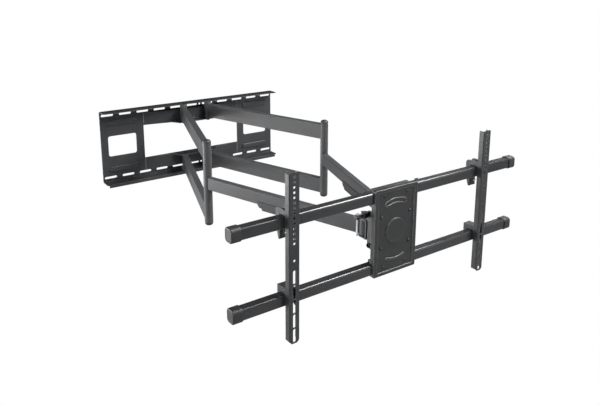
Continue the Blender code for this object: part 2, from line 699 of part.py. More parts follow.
def tilt_lock_bar():
    """Hangs in the hub's eye."""
    inner = LOCK_BAR_R - LOCK_BAR_CROWN
    profile = [(0, LOCK_BAR_UP), (inner, LOCK_BAR_UP), (LOCK_BAR_R, LOCK_BAR_UP - LOCK_BAR_CROWN),
               (LOCK_BAR_R, -LOCK_BAR_DOWN + LOCK_BAR_CROWN), (inner, -LOCK_BAR_DOWN), (0, -LOCK_BAR_DOWN)]
    return moved(turned(profile, SMALL_ROUND), lock_bar_x())


def level_hub():
    """The round boss that the face plate turns on."""
    radius = DISC_R - FACE_STEEL - RUN
    back = -CARRIAGE_Y - CARRIAGE_STEEL - GAP
    front = -FACE_Y + FACE_RECESS - DISC_RISE + FACE_STEEL + RUN
    return prism([circle(0, 0, radius, ROUND)], front, back, "Y")


# ---------------------------------------------------------------- face plate and rails
def panel_limits():
    """Front and back of the recessed panel, measured from the head pivots."""
    front = -FACE_Y + FACE_RECESS
    return front, front + FACE_STEEL


def face_plate():
    """A shallow tray: rim, recessed panel, raised disc, two pressed arcs and side notches for the rails."""
    front, back = panel_limits()
    rear = -FACE_Y + FACE_FLANGE
    plate = prism([rounded(0, 0, FACE_W, FACE_H, CORNER / 2)], -FACE_Y, rear, "Y")
    recess = rounded(0, 0, FACE_W - 2 * RIM_X, FACE_H - 2 * RIM_Z, CORNER / 2)
    cavity = rounded(0, 0, FACE_W - 2 * FACE_STEEL, FACE_H - 2 * FACE_STEEL, CORNER / 4)
    plate = cut(plate, prism([recess], -FACE_Y - RUN, front, "Y"), prism([cavity], back, rear + RUN, "Y"))
    raised = front - DISC_RISE
    plate = weld(plate, prism([circle(0, 0, DISC_R, 2 * ROUND)], raised, back - GAP, "Y"))
    under_disc = circle(0, 0, DISC_R - FACE_STEEL, 2 * ROUND)
    plate = cut(plate, prism([under_disc], raised + FACE_STEEL, back + RUN, "Y"))
    ring = arc_slot(ARC_R, ARC_UPPER_W + 2 * ARC_RIM, 90, ARC_HALF)
    pocket = arc_slot(ARC_R, ARC_UPPER_W, 90, ARC_HALF)
    bead = arc_slot(ARC_R, ARC_LOWER_W, 270, ARC_HALF)
    plate = weld(plate, prism([ring], front - ARC_RISE, back - GAP, "Y"),
                 prism([bead], front - ARC_LOWER_RISE, back - GAP, "Y"))
    plate = cut(plate, prism([pocket], -FACE_Y - RUN, front + ARC_POCKET, "Y"))
    spots = [(x, z) for x in SIDES.values() for z in LEVELS.values()]
    holes = [circle(x * FACE_SCREW_X, z * FACE_SCREW_Z, FACE_SCREW_R + GAP) for x, z in spots]
    holes += [circle(x * RAIL_HOLE_X, z * RAIL_Z, FACE_SCREW_R) for x, z in spots]
    plate = cut(plate, prism(holes, -FACE_Y - RUN, back + RUN, "Y"))
    room = RAIL_H / 2 + RUN
    notches = [block((-FACE_W, FACE_W), (back, rear + RUN), (level * RAIL_Z - room, level * RAIL_Z + room))
               for level in LEVELS.values()]
    plate = cut(plate, *notches)
    x1 = FACE_W / 2 - RUN
    tab = block((x1 - TAB_W, x1), (-FACE_Y + RUN, -FACE_Y + RUN + FACE_STEEL),
                (FACE_H / 2 - FACE_STEEL - RIM_Z / 2, FACE_H / 2 + TAB_H))
    return weld(plate, tab)


def rail_middle_y():
    return panel_limits()[1] + GAP + RAIL_D / 2


def rail():
    outside = rounded(0, 0, RAIL_D, RAIL_H, RAIL_CORNER)
    inside = rounded(0, 0, RAIL_D - 2 * RAIL_WALL, RAIL_H - 2 * RAIL_WALL, RAIL_CORNER - RAIL_WALL)
    return prism([outside, inside], -RAIL_LENGTH / 2, RAIL_LENGTH / 2, "X")


def end_cap(side):
    """A cup over the end of a rail."""
    grow = 2 * (END_CAP_WALL + GAP)
    outside = rounded(0, 0, RAIL_D + grow, RAIL_H + grow, END_CAP_CORNER)
    room = rounded(0, 0, RAIL_D + 2 * GAP, RAIL_H + 2 * GAP, RAIL_CORNER + GAP)
    end = RAIL_LENGTH / 2 + GAP
    x = sorted((side * (end + END_CAP_WALL), side * (end - END_CAP)))
    hollow = sorted((side * end, side * (end - 2 * END_CAP)))
    return cut(prism([outside], *x, "X"), prism([room], *hollow, "X"))


def rail_clamp(level):
    """A bent strap that holds a rail against the back of the panel."""
    back = panel_limits()[1]
    inside = RAIL_H / 2 + GAP
    outside = inside + CLAMP_STEEL
    rear = back + GAP + RAIL_D + GAP
    front = back + GAP
    z = level * RAIL_Z
    half = CLAMP_W / 2
    strap = block((-half, half), (front, rear + CLAMP_STEEL), (z - outside, z + outside))
    return cut(strap, block((-half - RUN, half + RUN), (front - RUN, rear), (z - inside, z + inside)))


def face_screw():
    """A domed screw head in front of the panel and its shank, which runs in the carriage's slot."""
    front = panel_limits()[0] - GAP
    end = -CARRIAGE_Y - GAP
    head = dome(FACE_HEAD_R, -FACE_HEAD_H, front)
    return turned([*head, (FACE_SCREW_R, front), (FACE_SCREW_R, end), (0, end)], SMALL_ROUND, "Y")


def build_head(kit, outer_arm):
    yoke_body = kit.empty("yoke_body", outer_arm, (0, -ARM_LENGTH, 0), -ARM_ANGLE)
    yoke = kit.empty("head_middle", yoke_body, (PIVOT_X, 0, 0))
    kit.add("head_yoke", head_yoke(), yoke, "coat")
    for side_name, side in SIDES.items():
        kit.add(f"{side_name}_head_pin", moved(head_pin(), side * PIVOT_X), yoke, "dark_bolt")
    kit.add("tilt_axle", tilt_axle(), yoke, "dark_bolt")
    kit.add("tilt_stud", tilt_stud(), yoke, "dark_bolt")
    lever = kit.empty("lever_turn", yoke, (0, -STUD_Y, STUD_Z))
    kit.add("tilt_lock_hub", tilt_lock_hub(), lever, "dark_bolt")
    kit.add("tilt_lock_bar", tilt_lock_bar(), lever, "zinc")
    pivot = Vector((0, -AXLE_Y, AXLE_Z))
    carriage_body = kit.empty("tilt_body", yoke, pivot)
    carriage = tilt_carriage()
    carriage.data.transform(Matrix.Translation(-pivot))
    kit.add("tilt_carriage", carriage, carriage_body, "coat")
    hub = level_hub()
    hub.data.transform(Matrix.Translation(-pivot))
    kit.add("level_hub", hub, carriage_body, "coat")
    return kit.empty("face_body", carriage_body, -pivot)


def build_face(kit, face):
    kit.add("face_plate", face_plate(), face, "coat")
    y = rail_middle_y()
    for level_name, level in LEVELS.items():
        kit.add(f"{level_name}_rail_clamp", rail_clamp(level), face, "coat")
        kit.add(f"{level_name}_rail", moved(rail(), y=y, z=level * RAIL_Z), face, "satin")
        for side_name, side in SIDES.items():
            cap = moved(end_cap(side), y=y, z=level * RAIL_Z)
            kit.add(f"{side_name}_{level_name}_end_cap", cap, face, "plastic")
            screw = moved(face_screw(), side * FACE_SCREW_X, z=level * FACE_SCREW_Z)
            kit.add(f"{side_name}_{level_name}_face_screw", screw, face, "zinc")


# ---------------------------------------------------------------- TV brackets
def bracket_channel(front):
    """A U-channel with a column of holes, a single hole and a column of long slots in its web."""
    top, bottom = BRACKET_Z + BRACKET_H / 2, BRACKET_Z - BRACKET_H / 2
    half = BRACKET_W / 2
    outline = [(half - FOOT_CHAMFER, bottom), (half, bottom + FOOT_CHAMFER),
               (half, top - TOP_CHAMFER), (half - TOP_CHAMFER, top)]
    outline += [(-x, z) for x, z in reversed(outline)]
    channel = prism([outline], front, front + BRACKET_D, "Y")
    inside = block((-half + BRACKET_STEEL, half - BRACKET_STEEL),
                   (front + BRACKET_STEEL, front + 2 * BRACKET_D), (bottom - RUN, top + RUN))
    holes = [circle(0, top - FIRST_HOLE - i * HOLE_PITCH, HOLE_R) for i in range(BRACKET_HOLES)]
    holes.append(circle(0, top - SINGLE_HOLE, HOLE_R))
    holes += [slot(0, top - FIRST_SLOT - i * LONG_PITCH, LONG_SLOT, LONG_SLOT_W, upright=True)
              for i in range(BRACKET_SLOTS)]
    return cut(channel, inside, prism(holes, front - RUN, front + BRACKET_STEEL + RUN, "Y"))


def hook(outline, *bridges):
    """Two cheeks in the bracket's channel, joined by walls given as their Y and Z limits."""
    half = HOOK_W / 2
    left = prism([outline], -half, -half + CHEEK, "X")
    right = prism([outline], half - CHEEK, half, "X")
    walls = [block((-half + CHEEK / 2, half - CHEEK / 2), y, z) for y, z in bridges]
    return weld(left, *walls, right)


def hook_lines(front, level):
    """Faces of a rail, with running clearance, and the front of a hook inside the channel."""
    y = rail_middle_y()
    z = level * RAIL_Z
    return {
        "inside": front + BRACKET_STEEL + GAP,
        "before": y - RAIL_D / 2 - RUN,
        "behind": y + RAIL_D / 2 + RUN,
        "over": z + RAIL_H / 2 + RUN,
        "under": z - RAIL_H / 2 - RUN,
    }


def upper_hook(front):
    """Hangs over the upper rail; its tail holds the safety screw below the rail."""
    at = hook_lines(front, 1)
    top = at["over"] + HOOK_OVER
    rear = at["behind"] + HOOK_BEHIND
    tail = at["under"] - HOOK_TAIL
    crown = arc(rear - HOOK_ROUND, top - HOOK_ROUND, HOOK_ROUND, 90, 0, ARC)
    outline = [(at["inside"], tail), (at["inside"], top), *crown, (rear, at["under"]),
               (at["behind"] + HOOK_BEHIND / 3, tail), (at["behind"], tail),
               (at["behind"], at["over"]), (at["before"], at["over"]), (at["before"], tail)]
    tail_wall = ((at["behind"] + GAP, at["behind"] + CHEEK), (tail + GAP, at["under"] - CHEEK))
    back_wall = ((rear - CHEEK, rear - GAP), (at["under"] + GAP, top - HOOK_ROUND - GAP))
    return hook(outline, tail_wall, back_wall)


def lower_hook(front):
    """A square hook over the lower rail."""
    at = hook_lines(front, -1)
    top = at["over"] + HOOK_OVER
    rear = at["behind"] + LOW_HOOK_BEHIND
    outline = [(at["inside"], at["under"]), (at["inside"], top), (rear, top), (rear, at["over"] - RAIL_H / 2),
               (at["behind"], at["over"] - RAIL_H / 2), (at["behind"], at["over"]),
               (at["before"], at["over"]), (at["before"], at["under"])]
    roof = ((at["before"] + GAP, rear - GAP), (top - CHEEK, top - GAP))
    back_wall = ((rear - CHEEK, rear - 2 * GAP), (at["over"] - RAIL_H / 2 + GAP, top - CHEEK / 2))
    return hook(outline, roof, back_wall)


def safety_screw(front):
    """Screwed through the upper hook's tail, under the rail, so the bracket can't lift off."""
    at = hook_lines(front, 1)
    z = at["under"] - HOOK_TAIL / 2
    head = at["behind"] + CHEEK + GAP
    tip = at["behind"] - SAFETY_REACH
    screw = turned([(0, head + SAFETY_HEAD_R), (SAFETY_HEAD_R, head + SAFETY_HEAD_R), (SAFETY_HEAD_R, head),
                    (SAFETY_R, head), (SAFETY_R, tip), (0, tip)], SMALL_ROUND, "Y")
    return moved(screw, z=z)


def build_bracket(kit, face, side_name):
    front = panel_limits()[1] + GAP - BRACKET_AHEAD
    body = kit.empty(f"{side_name}_bracket_slide", face, (SIDES[side_name] * BRACKET_X, 0, 0))
    kit.add(f"{side_name}_tv_bracket", bracket_channel(front), body, "coat")
    hole = hook_lines(front, 1)
    bore = rod(SAFETY_R + GAP, hole["behind"] - CHEEK, hole["behind"] + 2 * CHEEK, SMALL_ROUND, "Y")
    bore = moved(bore, z=hole["under"] - HOOK_TAIL / 2)
    kit.add(f"{side_name}_upper_hook", cut(upper_hook(front), bore), body, "coat")
    kit.add(f"{side_name}_lower_hook", lower_hook(front), body, "coat")
    kit.add(f"{side_name}_safety_screw", safety_screw(front), body, "zinc")


def main():
    clear_scene()
    kit = Assembly("full_motion_tv_wall_mount")
    frame = kit.empty("mount_frame", None, (0, 0, -MOUNT_Z))
    build_wall(kit, frame)
    outer = {name: build_outer_arm(kit, build_inner_arm(kit, frame, name), name) for name in SIDES}
    face = build_head(kit, outer["left"])
    build_face(kit, face)
    for name in SIDES:
        build_bracket(kit, face, name)


main()
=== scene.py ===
"""Looks of a folding wall mount for a large screen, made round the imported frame.

Metres, +Z up, front towards -Y. Left and right are as seen from the front. Each finished piece takes
the place of a CAD node, rides on the same body and keeps the node's size.
"""
import json
import math

import bmesh
import bpy
from mathutils import Matrix, Vector


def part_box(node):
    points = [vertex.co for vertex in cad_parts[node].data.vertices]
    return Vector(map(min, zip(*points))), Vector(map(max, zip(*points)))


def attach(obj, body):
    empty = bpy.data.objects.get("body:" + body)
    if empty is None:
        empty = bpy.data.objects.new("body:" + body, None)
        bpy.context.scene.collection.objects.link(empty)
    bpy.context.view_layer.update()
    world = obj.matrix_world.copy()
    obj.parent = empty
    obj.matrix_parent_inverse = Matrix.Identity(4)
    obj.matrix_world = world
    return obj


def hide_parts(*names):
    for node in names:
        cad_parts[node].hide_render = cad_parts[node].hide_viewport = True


SIDES = {"left": -1, "right": 1}
LEVELS = ("upper", "lower")
ROUND = 48                 # sides of a round piece
ROUND_SMALL = 24
HEXAGON = 6
EDGE = 0.0004              # rounding of cut sheet edges
SAME_PLACE = 1e-5          # a vertex this close to a place lies at it
SAME_POINT = 1e-6          # vertices this close are merged
STRAIGHT = 0.999           # cosine from which an edge runs along an axis
ONE_FACE = math.radians(0.6)       # faces that turn less than this become one
SHARP = math.radians(28)           # edges that turn more than this are rounded
SMOOTH = math.radians(40)          # edges that turn less than this are shaded round
INSIDE_CORNER = math.radians(-25)  # edges that turn inwards more than this are inside corners

# Arms
BAR_HEIGHT = 0.055         # the inner arms' tubes
BAR_WIDTH = 0.022
BAR_CORNER = 0.0030
INNER_INSET = 0.5          # where a tube starts, as a share of its barrel's radius
OUTER_INSET = 0.85
RIM = 0.0007               # rounding of the barrels' rims
WELD = 0.0012              # fillet between a tube and its barrel
CAP_CROWN = 0.0088         # rounding of the elbow caps
CAP_LIP = 0.0010
CLIP_EDGE = 0.0005

# Crossbars
RAIL_CORNER = 0.0050
RAIL_WALL = 0.0020
END_CORNER = 0.0095
END_WALL = 0.0022
END_RIM = 0.0026
END_FRAME = 0.0022         # border of the end cap's sunk panel
END_SINK = 0.0006
END_LEAD = 0.0009          # chamfer of the cap's open mouth

# Screen brackets
WEB = 0.0020
BEND = 0.0026
FOOT_CHAMFER = 0.0075
TOP_CHAMFER = 0.00375
HOLES = 14
HOLE_PITCH = 0.0125
HOLE_RADIUS = 0.0032
FIRST_HOLE = 0.0108        # from the top edge
SINGLE_HOLE = 0.216
LONG_SLOTS = 5
SLOT_PITCH = 0.0379
SLOT_LENGTH = 0.0345
SLOT_RADIUS = 0.004
FIRST_SLOT = 0.2574

# Pressed plates: distances behind the front, and the rounding there
WALL_STEPS = ((0.0433, 0.0022),)
FACE_STEPS = ((0.0, 0.0014), (0.0005, 0.0011), (0.0013, 0.0009), (0.0023, 0.0005))

# Head
YOKE_EDGE = 0.0012
CARRIAGE_EDGE = 0.0008
HUB_EDGE = 0.0005
LOCK_BAR_CROWN = 0.6       # rounding of the lock bar's ends, as a share of its radius

# Screws and bolts
SCREW_SEAT = 0.0001        # how far a head sits off its face
SCREW_EDGE = 0.0001        # rounding of the small edges
SOCKET_DEPTH = 0.0014
PLAIN_CHAMFER = 5          # height of a plain head over its chamfer
NUT_CHAMFER = 6            # height of a nut over its chamfer
BOLT_HEAD = 0.0035
NUT_HEIGHT = 0.0055
WALL_BOLT_SHANK = 0.004
AXLE_SHANK = 0.005
WASHER_SPREAD = 1.12       # radius of a washer over that of the bolt's head
WASHER_BACK = -0.0002
WASHER_FRONT = 0.0008
THUMB_HEAD = 0.0058
THUMB_SEAT = 0.006         # from the thumb screw's far end
THUMB_SHANK = 0.0025
THUMB_DOME = 0.0012
RAIL_SCREW_X = 0.040
RAIL_SCREW_RADIUS = 0.0042
RAIL_SCREW_LENGTH = 0.004

# Domed screws: height of the head, radius of the shank, rounding of the head, radius of the socket
HEAD_PIN = (0.0035, 0.006, 0.0014, 0.0032)
FACE_SCREW = (0.0025, 0.003, 0.0021, 0.0017)
RAIL_SCREW = (0.0016, 0.0026, 0.0012, 0.0015)
TILT_STUD = (0.0035, 0.003, 0.0015, 0.0030)

# Finishes: a size counts how often a pattern repeats in a metre
COAT_HANDLING = {"Size": 14.0, "Contrast": 1.3}
PLATE_HANDLING = {"Size": 60.0, "Contrast": 1.6}
BRUSH_SIZE = 500.0
BRUSH_STRETCH = (1.0, 1.0, 0.06)
PIT_RATIO = 2.3            # size of the pits over that of the peel
PEEL_HEIGHT = 0.0003
# noise that breaks up the rubbed edges and their painted highlight
RUB_AND_HIGHLIGHT_BREAKS = 160.0
WEAR_POLISH = -0.15        # change of roughness on worn edges
PLATE_GLOSS = (-0.08, 0.12)

# Studio
WHITE = (1, 1, 1, 1)
FLOOR_SIZE = 60.0
FLOOR_PLACE = (0, -0.6, -0.9)
FLOOR_GREY = (0.30, 0.30, 0.30, 1)
FLOOR_ROUGH = 0.9
BRIGHT_SIDE = (-0.86, -0.50, -0.10)
ROOM_DARK = 0.02
ROOM_BRIGHT = 1.0
ROOM_TINT = (0.95, 0.97, 1.0, 1)
CENTRE = (0.0, -0.65, -0.1)
LIGHTS = (                 # name, place, target, width, height, power
    ("side_left", (-2.6, 1.5, -0.1), CENTRE, 1.8, 1.4, 140.0),
    ("front_right", (1.9, -3.6, -0.1), (0.0, -1.1, -0.1), 1.2, 1.0, 14.0),
    ("key_left", (-3.2, -1.6, 0.2), CENTRE, 2.0, 1.6, 34.0),
    ("edge_high", (1.25, -1.6, 1.7), (0.0, -1.2, 0.0), 1.8, 0.6, 130.0),
    ("rim_right", (2.8, 1.0, -0.2), (0.0, -0.9, -0.1), 1.0, 1.2, 25.0),
)
CAMERA_PLACE = (-1.1147, -2.3656, 0.5797)
CAMERA_TURN = (-35.07, 12.76, 0.1)    # yaw, pitch down and roll in degrees
CAMERA_LENS = 38.43
CAMERA_SENSOR = 36.0
CAMERA_SHIFT = -0.15
CAMERA_REACH = 100.0


# ---------------------------------------------------------------- frame
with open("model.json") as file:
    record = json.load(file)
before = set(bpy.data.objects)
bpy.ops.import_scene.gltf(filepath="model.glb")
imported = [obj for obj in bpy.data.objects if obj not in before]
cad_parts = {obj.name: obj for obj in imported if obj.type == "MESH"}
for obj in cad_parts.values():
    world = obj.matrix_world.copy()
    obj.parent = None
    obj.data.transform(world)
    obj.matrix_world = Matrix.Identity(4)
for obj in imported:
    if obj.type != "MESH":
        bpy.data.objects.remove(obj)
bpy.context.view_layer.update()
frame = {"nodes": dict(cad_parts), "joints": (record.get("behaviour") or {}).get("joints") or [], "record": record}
record = frame["record"]
body_of = {node: body for body, nodes in record["behaviour"]["bodies"].items() for node in nodes}
joint_at = {joint["name"]: Vector(joint["pos_m"]) for joint in frame["joints"] if "pos_m" in joint}


def corners(node):
    low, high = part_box(node)
    return Vector(low), Vector(high)


def middle(node):
    low, high = corners(node)
    return (low + high) / 2


# ---------------------------------------------------------------- modelling helpers
def activate(*pieces):
    """Selects only these pieces; the first becomes the active one."""
    for other in bpy.context.selected_objects:
        other.select_set(False)
    for piece in pieces:
        piece.select_set(True)
    bpy.context.view_layer.objects.active = pieces[0]


def settle(piece, name):
    """Names a piece and puts its place into its mesh."""
    activate(piece)
    bpy.ops.object.transform_apply(location=True, rotation=True, scale=True)
    piece.name = piece.data.name = name
    return piece


def box_piece(name, low, high):
    bpy.ops.mesh.primitive_cube_add(size=1, location=(low + high) / 2, scale=high - low)
    return settle(bpy.context.object, name)


def round_piece(name, radius, low, high, sides=ROUND):
    """A round or many-sided bar standing on the Z axis."""
    bpy.ops.mesh.primitive_cylinder_add(vertices=sides, radius=radius, depth=high - low,
                                        location=(0, 0, (low + high) / 2))
    return settle(bpy.context.object, name)


def put(piece, at, axis=(0, 0, 1)):
    """Turns a piece's Z axis towards an axis and moves its origin to a place."""
    piece.rotation_mode = "QUATERNION"
    piece.rotation_quaternion = Vector((0, 0, 1)).rotation_difference(Vector(axis))
    piece.location = at
    return settle(piece, piece.name)


def edit(piece, kind, test, *steps):
    """Runs edit mode operators, given as (operator, settings), on the edges or faces that pass a test."""
    activate(piece)
    bpy.context.tool_settings.mesh_select_mode = (kind == "verts", kind == "edges", kind == "faces")
    bpy.ops.object.mode_set(mode="EDIT")
    bpy.ops.mesh.select_all(action="DESELECT")
    mesh = bmesh.from_edit_mesh(piece.data)
    for item in getattr(mesh, kind):
        if test(item):
            item.select_set(True)
    bmesh.update_edit_mesh(piece.data)
    for operator, settings in steps:
        operator(**settings)
    bpy.ops.object.mode_set(mode="OBJECT")
    return piece


def along(axis):
    """A test for edges that run along an axis: 0, 1 or 2."""
    def test(edge):
        a, b = (vert.co for vert in edge.verts)
        return abs((a - b).normalized()[axis]) > STRAIGHT
    return test


def level_at(axis, *places):
    """A test for edges or faces that lie at one of these places on an axis."""
    def test(item):
        return any(all(abs(vert.co[axis] - place) < SAME_PLACE for vert in item.verts) for place in places)
    return test


def rounded(piece, test, radius, segments=3):
    return edit(piece, "edges", test, (bpy.ops.mesh.bevel, {"offset": radius, "segments": segments}))


def applied(piece, kind, **settings):
    """Adds a modifier and applies it."""
    change = piece.modifiers.new(kind.lower(), kind)
    for name, value in settings.items():
        setattr(change, name, value)
    activate(piece)
    bpy.ops.object.modifier_apply(modifier=change.name)
    return piece


def joined(name, *pieces):
    activate(*pieces)
    bpy.ops.object.join()
    return settle(bpy.context.object, name)


def merged(piece, operation, *others):
    """Adds or cuts other closed pieces, which are used up."""
    for other in others:
        applied(piece, "BOOLEAN", object=other, operation=operation, solver="EXACT")
        bpy.data.objects.remove(other)
    return piece


def smoothed(piece, width=None, segments=2):
    """Rounds the sharp edges, if a width is given, and shades the flats flat and the rounds round."""
    if width:
        applied(piece, "BEVEL", width=width, segments=segments, limit_method="ANGLE",
                angle_limit=SHARP)
    activate(piece)
    bpy.ops.object.shade_smooth_by_angle(angle=SMOOTH)
    applied(piece, "WEIGHTED_NORMAL", keep_sharp=True)
    return piece


def stand_in(piece, finish, *nodes):
    """Puts a finished piece in the place of its CAD nodes."""
    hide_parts(*nodes)
    return extra(piece, finish, nodes[0])


def extra(piece, finish, node):
    """Gives a piece its finish and lets it ride with a node's body."""
    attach(piece, body_of[node])
    piece.data.materials.clear()
    piece.data.materials.append(finish)
    return piece


def dressed(node, finish, width=EDGE, segments=2, steps=()):
    """A merged copy of a CAD node with rounded edges.

    A step is a distance behind the node's front and the rounding of the edges that lie there.
    """
    copy = bpy.data.objects.new(f"{node}_finished", frame["nodes"][node].data.copy())
    bpy.context.scene.collection.objects.link(copy)
    edit(copy, "verts", lambda vert: True,
         (bpy.ops.mesh.remove_doubles, {"threshold": SAME_POINT}),
         (bpy.ops.mesh.dissolve_limited, {"angle_limit": ONE_FACE}))
    front = corners(node)[0].y
    for depth, radius in steps:
        rounded(copy, level_at(1, front + depth), radius, segments=4)
    return stand_in(smoothed(copy, width, segments), finish, node)


# ---------------------------------------------------------------- material groups
def new_group(name, inputs, outputs):
    """A node group with its inputs' first values and its outputs' kinds."""
    tree = bpy.data.node_groups.new(name, "ShaderNodeTree")
    for label, value in inputs.items():
        socket = tree.interface.new_socket(label, in_out="INPUT", socket_type="NodeSocketFloat")
        socket.default_value = value
    for label, kind in outputs.items():
        tree.interface.new_socket(label, in_out="OUTPUT", socket_type=kind)
    return tree


def add_node(tree, kind, inputs=None, **settings):
    """Adds a shader node; an input is a value or another node's socket."""
    node = tree.nodes.new(kind)
    for name, value in settings.items():
        setattr(node, name, value)
    for name, value in (inputs or {}).items():
        if isinstance(value, bpy.types.NodeSocket):
            tree.links.new(value, node.inputs[name])
        else:
            node.inputs[name].default_value = value
    return node


def coat_grain_group():
    """Fine orange peel of a baked powder coat, or the etched skin of moulded plastic."""
    tree = new_group("Coat grain", {"Size": 900.0, "Depth": 0.2},
                     {"Normal": "NodeSocketVector", "Fleck": "NodeSocketFloat"})
    given = tree.nodes.new("NodeGroupInput")
    place = tree.nodes.new("ShaderNodeTexCoord")
    peel = add_node(tree, "ShaderNodeTexNoise",
                    {"Vector": place.outputs["Object"], "Scale": given.outputs["Size"], "Detail": 2.0})
    finer = add_node(tree, "ShaderNodeMath", {0: given.outputs["Size"], 1: PIT_RATIO},
                     operation="MULTIPLY")
    pits = add_node(tree, "ShaderNodeTexVoronoi",
                    {"Vector": place.outputs["Object"], "Scale": finer.outputs[0]})
    height = add_node(tree, "ShaderNodeMath",
                      {0: peel.outputs["Fac"], 1: pits.outputs["Distance"]}, operation="ADD")
    bump = add_node(tree, "ShaderNodeBump", {"Strength": given.outputs["Depth"],
                                             "Distance": PEEL_HEIGHT, "Height": height.outputs[0]})
    out = tree.nodes.new("NodeGroupOutput")
    tree.links.new(bump.outputs["Normal"], out.inputs["Normal"])
    tree.links.new(peel.outputs["Fac"], out.inputs["Fleck"])
    return tree


def handling_group():
    """Broad, soft unevenness from the spray gun and from hands: one mask from 0 to 1."""
    tree = new_group("Handling", {"Size": 14.0, "Contrast": 1.0}, {"Mask": "NodeSocketFloat"})
    given = tree.nodes.new("NodeGroupInput")
    place = tree.nodes.new("ShaderNodeTexCoord")
    broad = add_node(tree, "ShaderNodeTexNoise", {"Vector": place.outputs["Object"],
                                                  "Scale": given.outputs["Size"], "Detail": 5.0,
                                                  "Roughness": 0.6})
    centred = add_node(tree, "ShaderNodeMath", {0: broad.outputs["Fac"], 1: 0.5}, operation="SUBTRACT")
    wide = add_node(tree, "ShaderNodeMath", {0: centred.outputs[0], 1: given.outputs["Contrast"], 2: 0.5},
                    operation="MULTIPLY_ADD", use_clamp=True)
    out = tree.nodes.new("NodeGroupOutput")
    tree.links.new(wide.outputs[0], out.inputs["Mask"])
    return tree


def edge_rub_and_painted_highlight_group():
    """A mask along the edges, broken up by noise, where a coat is thin and polished; the same mask lays a painted
    highlight along the edges.
    """
    tree = new_group("Edge wear", {"Reach": 0.0012, "Amount": 0.5}, {"Mask": "NodeSocketFloat"})
    given = tree.nodes.new("NodeGroupInput")
    soft = add_node(tree, "ShaderNodeBevel", {"Radius": given.outputs["Reach"]}, samples=4)
    hard = tree.nodes.new("ShaderNodeNewGeometry")
    match = add_node(tree, "ShaderNodeVectorMath", {0: soft.outputs["Normal"], 1: hard.outputs["Normal"]},
                     operation="DOT_PRODUCT")
    away = add_node(tree, "ShaderNodeMapRange",
                    {"Value": match.outputs["Value"], "From Min": 0.995, "From Max": 0.80})
    place = tree.nodes.new("ShaderNodeTexCoord")
    breaks = add_node(tree, "ShaderNodeTexNoise",
                      {"Vector": place.outputs["Object"], "Scale": RUB_AND_HIGHLIGHT_BREAKS, "Detail": 3.0})
    patchy = add_node(tree, "ShaderNodeMapRange",
                      {"Value": breaks.outputs["Fac"], "From Min": 0.25, "From Max": 0.55})
    both = add_node(tree, "ShaderNodeMath", {0: away.outputs[0], 1: patchy.outputs[0]},
                    operation="MULTIPLY")
    scaled = add_node(tree, "ShaderNodeMath", {0: both.outputs[0], 1: given.outputs["Amount"]},
                      operation="MULTIPLY", use_clamp=True)
    out = tree.nodes.new("NodeGroupOutput")
    tree.links.new(scaled.outputs[0], out.inputs["Mask"])
    return tree


def brushing_group():
    """Fine lines and dull spots of plated steel."""
    tree = new_group("Brushing", {"Size": BRUSH_SIZE}, {"Tone": "NodeSocketFloat"})
    given = tree.nodes.new("NodeGroupInput")
    place = tree.nodes.new("ShaderNodeTexCoord")
    stretch = add_node(tree, "ShaderNodeMapping", {"Vector": place.outputs["Object"],
                                                   "Scale": BRUSH_STRETCH})
    lines = add_node(tree, "ShaderNodeTexNoise", {"Vector": stretch.outputs["Vector"],
                                                  "Scale": given.outputs["Size"], "Detail": 4.0})
    out = tree.nodes.new("NodeGroupOutput")
    tree.links.new(lines.outputs["Fac"], out.inputs["Tone"])
    return tree


# the edge group paints a highlight along the edges as well as marking their wear
GRAIN, HANDLING, RUB_AND_PAINTED_HIGHLIGHT, BRUSHING = (coat_grain_group(), handling_group(), edge_rub_and_painted_highlight_group(),
                                   brushing_group())


def use(tree, group, **values):
    node = tree.nodes.new("ShaderNodeGroup")
    node.node_tree = group
    for label, value in values.items():
        node.inputs[label].default_value = value
    return node


def mixed(tree, mask, first, second):
    """A colour between two, each a tuple or a socket."""
    node = tree.nodes.new("ShaderNodeMix")
    node.data_type = "RGBA"
    tree.links.new(mask, node.inputs["Factor"])
    for socket, value in ((node.inputs["A"], first), (node.inputs["B"], second)):
        if isinstance(value, tuple):
            socket.default_value = (*value, 1)
        else:
            tree.links.new(value, socket)
    return node.outputs["Result"]


def coated(name, dark, light, fleck_rub_and_highlight_colour, rough, grain, depth, wear=0.5, uneven=0.07, reach=0.0012):
    """A coated or moulded finish: broad tone, fleck, worn edges with a painted edge highlight, grain and uneven
    gloss.
    """
    finish = bpy.data.materials.new(name)
    finish.use_nodes = True
    tree = finish.node_tree
    shader = tree.nodes["Principled BSDF"]
    handling = use(tree, HANDLING, **COAT_HANDLING)
    skin = use(tree, GRAIN, Size=grain, Depth=depth)
    edges = use(tree, RUB_AND_PAINTED_HIGHLIGHT, Reach=reach, Amount=wear)
    tone = mixed(tree, handling.outputs["Mask"], dark, light)
    fleck = add_node(tree, "ShaderNodeMapRange", {"Value": skin.outputs["Fleck"], "From Min": 0.55,
                                                  "From Max": 0.75, "To Max": 0.08})
    flecked = mixed(tree, fleck.outputs[0], tone, fleck_rub_and_highlight_colour)
    # the edges take the pale colour by the mask: partly worn paint, partly a painted highlight along rims and
    # beads
    tree.links.new(mixed(tree, edges.outputs["Mask"], flecked, fleck_rub_and_highlight_colour), shader.inputs["Base Color"])
    gloss = add_node(tree, "ShaderNodeMapRange", {"Value": handling.outputs["Mask"],
                                                  "To Min": rough - uneven, "To Max": rough + uneven})
    polish = add_node(tree, "ShaderNodeMath",
                      {0: edges.outputs["Mask"], 1: WEAR_POLISH, 2: gloss.outputs[0]},
                      operation="MULTIPLY_ADD", use_clamp=True)
    tree.links.new(polish.outputs[0], shader.inputs["Roughness"])
    tree.links.new(skin.outputs["Normal"], shader.inputs["Normal"])
    finish.diffuse_color = (*light, 1)
    return finish


